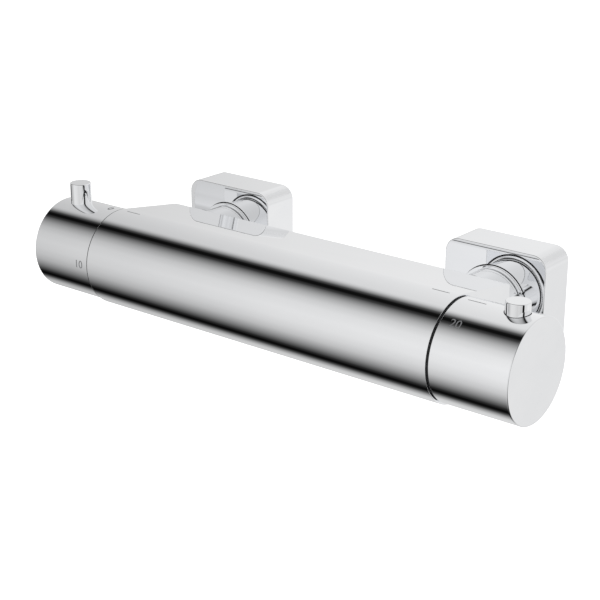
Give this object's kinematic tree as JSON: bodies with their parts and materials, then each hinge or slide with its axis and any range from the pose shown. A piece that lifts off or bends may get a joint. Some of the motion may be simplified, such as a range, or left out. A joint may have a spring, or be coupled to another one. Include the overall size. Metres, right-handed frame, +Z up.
{
  "type": "thermostatic shower valve",
  "caption": "Wall-hung bar mixer with a flow handle, a temperature handle with a safety button, wall unions with escutcheons and a threaded outlet below.",
  "frame": {"origin": "on the wall face, midway between the two inlets, level with the bar's axis", "axes": "+X along the bar towards the temperature handle, +Y into the wall, +Z up"},
  "size_m": [0.258, 0.1145, 0.0605],
  "materials": {
    "chrome": "polished chrome plate on brass",
    "brass": "turned, bare",
    "copper": "bare copper shell of the wax element",
    "steel": "stainless",
    "seal_rubber": "matt black",
    "fibre": "red fibre washer",
    "ceramic": "lapped ceramic",
    "white_plastic": "moulded acetal",
    "grey_plastic": "moulded",
    "black_plastic": "moulded"
  },
  "bodies": {
    "valve": {"body": "chrome", "outlet_nipple": "chrome", "outlet_o_ring": "seal_rubber", "flow_fixed_disc": "ceramic", "flow_seat_seal": "seal_rubber", "flow_cartridge_housing": "brass", "flow_cartridge_o_ring": "seal_rubber", "flow_stop_ring": "black_plastic", "temperature_stop_ring": "black_plastic", "cartridge_retaining_nut": "brass", "cartridge_head": "brass", "cartridge_sleeve": "brass", "cartridge_o_rings": "seal_rubber", "element_return_spring": "steel", "hot_inlet_nipple": "brass", "hot_union_nut": "chrome", "hot_washer": "fibre", "hot_filter": "steel", "hot_check_valve_cage": "white_plastic", "hot_wall_union": "brass", "cold_inlet_nipple": "brass", "cold_union_nut": "chrome", "cold_washer": "fibre", "cold_filter": "steel", "cold_check_valve_cage": "white_plastic", "cold_wall_union": "brass"},
    "flow_control": {"flow_handle": "chrome", "flow_lever_pin": "chrome", "flow_handle_insert": "grey_plastic", "flow_grub_screw": "steel", "flow_spindle": "brass", "flow_spindle_o_ring": "seal_rubber", "flow_moving_disc": "ceramic"},
    "temperature_control": {"temperature_handle": "chrome", "temperature_handle_insert": "grey_plastic", "temperature_grub_screw": "steel", "temperature_spindle": "brass", "temperature_spindle_o_ring": "seal_rubber", "safety_button_spring": "steel"},
    "button": {"safety_button": "chrome"},
    "thermostat": {"shuttle": "white_plastic", "shuttle_o_ring": "seal_rubber", "thermostatic_element": "copper", "regulating_cup": "brass", "overload_spring": "steel", "overload_seat": "white_plastic"},
    "hot_check_valve": {"hot_check_valve_poppet": "black_plastic", "hot_check_valve_spring": "steel"},
    "cold_check_valve": {"cold_check_valve_poppet": "black_plastic", "cold_check_valve_spring": "steel"},
    "hot_cover": {"hot_escutcheon": "chrome", "hot_escutcheon_grip_ring": "seal_rubber"},
    "cold_cover": {"cold_escutcheon": "chrome", "cold_escutcheon_grip_ring": "seal_rubber"}
  },
  "joints": [
    {"name": "flow_turn", "type": "hinge", "parent": "valve", "child": "flow_control", "pos_m": [-0.119, -0.074, 0], "axis": [1, 0, 0], "range_deg": [-90, 0]},
    {"name": "temperature_turn", "type": "hinge", "parent": "valve", "child": "temperature_control", "pos_m": [0.119, -0.074, 0], "axis": [1, 0, 0], "range_deg": [-40, 40]},
    {"name": "button_press", "type": "slide", "parent": "temperature_control", "child": "button", "axis": [0, 0, -1], "range_m": [0, 0.003], "stiffness_N_per_m": 400, "springref_m": -0.002, "deforming": ["safety_button_spring"]},
    {"name": "thermostat_shift", "type": "slide", "parent": "valve", "child": "thermostat", "axis": [1, 0, 0], "range_m": [-0.0009, 0.0009], "deforming": ["element_return_spring"]},
    {"name": "hot_check_lift", "type": "slide", "parent": "valve", "child": "hot_check_valve", "axis": [0, -1, 0], "range_m": [0, 0.003], "stiffness_N_per_m": 60, "springref_m": -0.002, "deforming": ["hot_check_valve_spring"]},
    {"name": "cold_check_lift", "type": "slide", "parent": "valve", "child": "cold_check_valve", "axis": [0, -1, 0], "range_m": [0, 0.003], "stiffness_N_per_m": 60, "springref_m": -0.002, "deforming": ["cold_check_valve_spring"]},
    {"name": "hot_cover_slide", "type": "slide", "parent": "valve", "child": "hot_cover", "axis": [0, -1, 0], "range_m": [0, 0.015]},
    {"name": "cold_cover_slide", "type": "slide", "parent": "valve", "child": "cold_cover", "axis": [0, -1, 0], "range_m": [0, 0.015]}
  ],
  "couplings": [
    {"joint": "thermostat_shift", "follows": "temperature_turn", "m_per_rad": 0.0012732}
  ]
}
